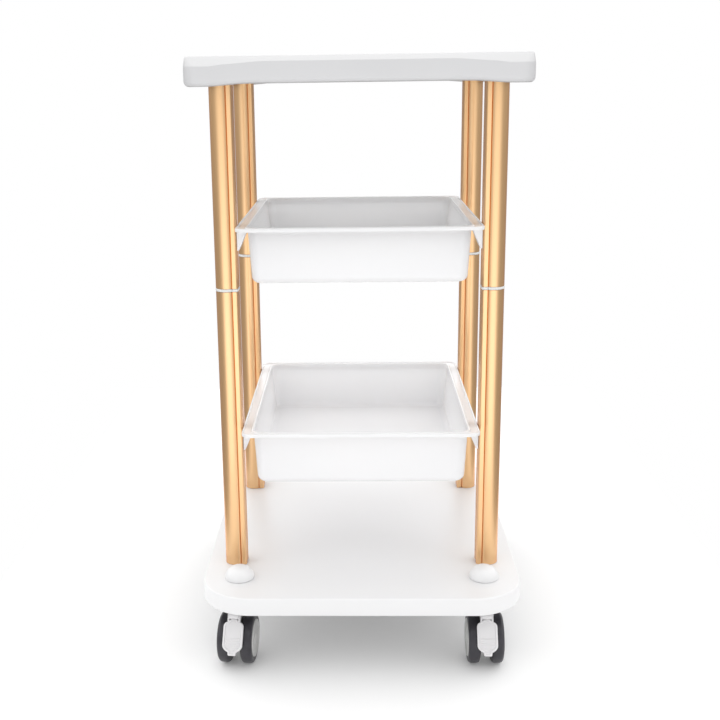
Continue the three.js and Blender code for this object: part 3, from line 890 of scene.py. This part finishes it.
def paddle_outline():
    """The paddle, across and along: an arched top, round shoulders and hips, and a narrow tip."""
    width, tip, root = PEDAL["half_width"], PEDAL["tip"], PEDAL["root"]
    hip, shoulder, neck = PEDAL["hip"], PEDAL["shoulder"], PEDAL["neck"]
    half = [Vector((0, tip)), Vector((PEDAL["tip_half"] - 1 * MM, tip))]
    half += [Vector((PEDAL["tip_half"], tip + 1 * MM)), Vector((PEDAL["root_half"], root))]
    bend = Vector((width, (root + hip) / 2 - 1 * MM))
    half += quadratic(half[-1], bend, Vector((width, hip)), 7)
    half += [Vector((width, 0)), Vector((width, shoulder))]
    neck_point = Vector((PEDAL["neck_half"], neck))
    half += quadratic(half[-1], Vector((width, neck - 1 * MM)), neck_point, 6)
    arch_top = Vector((0, 2 * PEDAL["crown"] - neck))
    arch = quadratic(neck_point, arch_top, Vector((-neck_point.x, neck)), 12)
    half += arch[:6]
    mirrored = [Vector((-p.x, p.y)) for p in reversed(half[1:-1])]
    return half + mirrored


def paddle_axes(axes):
    """Across the paddle, along it upwards, and straight off the wheel, from the wheels' centre."""
    c, s = math.cos(PEDAL["tilt"]), math.sin(PEDAL["tilt"])
    own = Matrix(
        (
            (1, 0, 0, 0),
            (0, s, -c, -TRAIL),
            (0, c, s, WHEEL_RADIUS),
            (0, 0, 0, 1),
        )
    )
    return axes @ own


def half_width_at(outline, along):
    """The outline's half width at a height along it."""
    best = 0.0
    for i, point in enumerate(outline):
        other = outline[i - 1]
        if (point.y - along) * (other.y - along) <= 0 and point.y != other.y:
            share = (along - point.y) / (other.y - point.y)
            best = max(best, point.x + (other.x - point.x) * share)
    return best


def paddle_loop(inset, height):
    """The paddle's outline moved in, at a height over its back."""
    outline = inset_outline(paddle_outline(), inset)
    return [Vector((p.x, p.y, PEDAL["off"] + height)) for p in outline]


def paddle_body():
    """The paddle with a raised border round its face."""
    thick, border = PEDAL["thickness"], PEDAL["border"]
    steps = [(0.5 * MM, 0), (0, 0.5 * MM), (0, thick - 0.9 * MM), (0.25 * MM, thick - 0.3 * MM)]
    steps += [(0.8 * MM, thick), (border - 0.4 * MM, thick), (border, thick - 0.35 * MM)]
    steps += [(border + 0.15 * MM, FACE_HEIGHT)]
    return lofted("paddle", [paddle_loop(inset, height) for inset, height in steps])


def pedal_ears():
    """The two plates that carry the pin, each from the paddle's neck round the pin."""
    off, lap = PEDAL["off"], PEDAL["ear_lap"]
    plate = [Vector((PEDAL["neck"] - lap, off + 0.6 * MM))]
    plate += arc(*PEDAL["pin"], PEDAL["ear_radius"], *PEDAL["ear_turn"], 12)
    plate.append(Vector((PEDAL["crown"] - lap, off + PEDAL["thickness"] - 0.2 * MM)))
    inner, outer = PEDAL["ears"]
    ears = []
    for side in (-1, 1):
        ear = bevelled_prism("ear", plate, (outer - inner) / 2, 0.4 * MM, 2)
        ears.append(placed(ear, Matrix.Translation((side * (inner + outer) / 2, 0, 0))))
    return ears


def pedal_hood():
    """The hood from ear to ear round the housing's nose, from over the pin down to the paddle."""
    inner_radius, outer_radius = PEDAL["hood"]
    outline = arc(*PEDAL["pin"], outer_radius, *PEDAL["hood_turn"], 12)
    outline += reversed(arc(*PEDAL["pin"], inner_radius, *PEDAL["hood_turn"], 12))
    return bevelled_prism("hood", outline, PEDAL["ears"][0] + 0.05 * MM, 0.25 * MM, 2)


def pedal_pin():
    """The hinge pin, which ends just outside the ears."""
    half, radius, edge = PEDAL["ears"][1] + PEDAL["pin_end"], PEDAL["pin_radius"], 0.3 * MM
    rod = [(-half, 0), (-half, radius - edge), (-half + edge, radius)]
    rod += [(half - edge, radius), (half, radius - edge), (half, 0)]
    return placed(turned("pin", rod, 24), Matrix.Translation((0, *PEDAL["pin"])))


def paddle_face():
    """The sunken face inside the border."""
    border = PEDAL["border"]
    back = paddle_loop(border + 0.05 * MM, FACE_HEIGHT - 0.6 * MM)
    front = paddle_loop(border + 0.2 * MM, FACE_HEIGHT + 0.12 * MM)
    return lofted("face", [back, front])


def paddle_ribs():
    """The grip ribs across the lower end of the face."""
    inside = inset_outline(paddle_outline(), PEDAL["border"] + 0.5 * MM)
    height = PEDAL["off"] + FACE_HEIGHT
    ribs = []
    for i in range(PEDAL["ribs"]):
        along = PEDAL["rib_from"] + i * PEDAL["rib_step"]
        bar = [(along + y * MM, height + z * MM) for y, z in PEDAL["rib"]]
        ribs.append(bevelled_prism("rib", bar, half_width_at(inside, along), 0.25 * MM, 2))
    return ribs


def make_pedal(corner, axes):
    """A caster's brake pedal: the moulding that turns on its pin, and its ribbed face."""
    body, place = f"{corner}_pedal", paddle_axes(axes)
    name = f"{corner}_brake_pedal_moulding"
    mesh = placed(merged(name, [paddle_body(), *pedal_ears(), pedal_hood(), pedal_pin()]), place)
    finish_mesh(name, mesh, "pedal_white", body, [f"{corner}_caster_brake_pedal"])
    name = f"{corner}_brake_pedal_face"
    mesh = placed(merged(name, [paddle_face(), *paddle_ribs()]), place)
    # The sunken face takes the darker look: painted shade in the recess.
    finish_mesh(name, mesh, "pedal_white", body, (), "pedal_face")


# ---- Floor and light ----
FLOOR = (0.5, -0.8, 1.0)  # half its width, and where it starts and ends


def make_floor():
    """The floor round the cart. Its edges don't show: it and what the camera sees past it are white."""
    side, front, back = FLOOR
    corners = [(-side, front, 0), (side, front, 0), (side, back, 0), (-side, back, 0)]
    mesh = mesh_from("floor", corners, [(0, 1, 2, 3)])
    mesh.materials.append(floor_paint())
    floor = bpy.data.objects.new("floor", mesh)
    bpy.context.scene.collection.objects.link(floor)


LIGHT = {
    "front": 0.8,
    "streak": 1.15,  # added low in front, for the posts' highlight
    "sides_low": 0.41,
    "sides": 1.6,
    "back": 1.75,
    "top": 1.22,
}
# Where one part of the studio goes over to the next. Walls go by how far a level direction points
# to the rear, from -1 in front to 1 behind, and rises by how far a direction points up, 1 at most.
CHANGE = {
    "front_wall": (-0.95, -0.42),
    "streak_wall": (-0.995, -0.7),
    "back_wall": (-0.2, 0.5),
    "streak_rise": (-0.2, 0.03),
    "wall_rise": (0.08, 0.3),
    "ceiling_rise": (0.5, 0.8),
}


def make_world():
    """A white studio: bright in front, behind and overhead, with darker low walls at the sides.

    The camera sees it as plain white."""
    world = bpy.data.worlds.new("studio")
    bpy.context.scene.world = world
    world.use_nodes = True
    tree = world.node_tree
    background = tree.nodes["Background"]

    def math_node(operation, first, second=None):
        node = tree.nodes.new("ShaderNodeMath")
        node.operation = operation
        for socket, value in zip(node.inputs, (first, second)):
            if isinstance(value, bpy.types.NodeSocket):
                tree.links.new(value, socket)
            elif value is not None:
                socket.default_value = value
        return node.outputs[0]

    def ramp(value, change, before, after):
        node = tree.nodes.new("ShaderNodeMapRange")
        node.interpolation_type = "SMOOTHSTEP"
        tree.links.new(value, node.inputs["Value"])
        settings = {
            "From Min": CHANGE[change][0],
            "From Max": CHANGE[change][1],
            "To Min": before,
            "To Max": after,
        }
        for name, number in settings.items():
            node.inputs[name].default_value = number
        return node.outputs["Result"]

    def mixed(first, second, share):
        rest = math_node("SUBTRACT", 1, share)
        kept = math_node("MULTIPLY", first, rest)
        return math_node("ADD", kept, math_node("MULTIPLY", second, share))

    direction = tree.nodes.new("ShaderNodeSeparateXYZ")
    tree.links.new(tree.nodes.new("ShaderNodeTexCoord").outputs["Generated"], direction.inputs[0])
    x, y, z = direction.outputs
    square = math_node("ADD", math_node("MULTIPLY", x, x), math_node("MULTIPLY", y, y))
    level = math_node("SQRT", square)
    to_rear = math_node("DIVIDE", y, math_node("MAXIMUM", level, 0.001))
    low_streak = ramp(z, "streak_rise", LIGHT["streak"], 0)
    streak = math_node("MULTIPLY", ramp(to_rear, "streak_wall", 1, 0), low_streak)
    front = math_node("ADD", streak, LIGHT["front"])
    around = ramp(to_rear, "back_wall", LIGHT["sides"], LIGHT["back"])
    others = mixed(LIGHT["sides_low"], around, ramp(z, "wall_rise", 0, 1))
    walls = mixed(others, front, ramp(to_rear, "front_wall", 1, 0))
    lit = mixed(walls, LIGHT["top"], ramp(z, "ceiling_rise", 0, 1))
    seen = tree.nodes.new("ShaderNodeLightPath").outputs["Is Camera Ray"]
    tree.links.new(math_node("MAXIMUM", lit, seen), background.inputs["Strength"])
    background.inputs["Color"].default_value = (1, 1, 1, 1)


# ---- The scene ----
make_camera()
make_floor()
make_world()
bpy.context.scene.view_settings.view_transform = "Standard"

make_base_board()
make_top_board()
for level in ("lower", "upper"):
    make_tray(level)
for corner, sign_x in CORNERS.items():
    low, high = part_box(f"{corner}_lower_post")
    middle = Vector((0, (low.y + high.y) / 2, 0))
    # The round side is the post's own radius from its axis.
    middle.x = low.x + POST["radius"] if sign_x < 0 else high.x - POST["radius"]
    for part in ("lower", "upper"):
        make_post(f"{corner}_{part}_post", sign_x, middle)
        make_bracket(f"{corner}_{part}_tray_bracket", sign_x, middle)
    make_collar(f"{corner}_post_joint", sign_x, middle)
    make_post_screw(corner, middle)
    axes = caster_axes(corner)
    make_cap(corner)
    for label in ("outer", "inner"):
        make_wheel(corner, label, axes)
    make_pedal(corner, axes)

# Every CAD piece takes its slot's material, which shows on those that aren't replaced.
for part in frame["record"]["subparts"]:
    piece = frame["nodes"][part["node"]]
    piece.data.materials.clear()
    piece.data.materials.append(MATERIALS[part["material_slot"]])
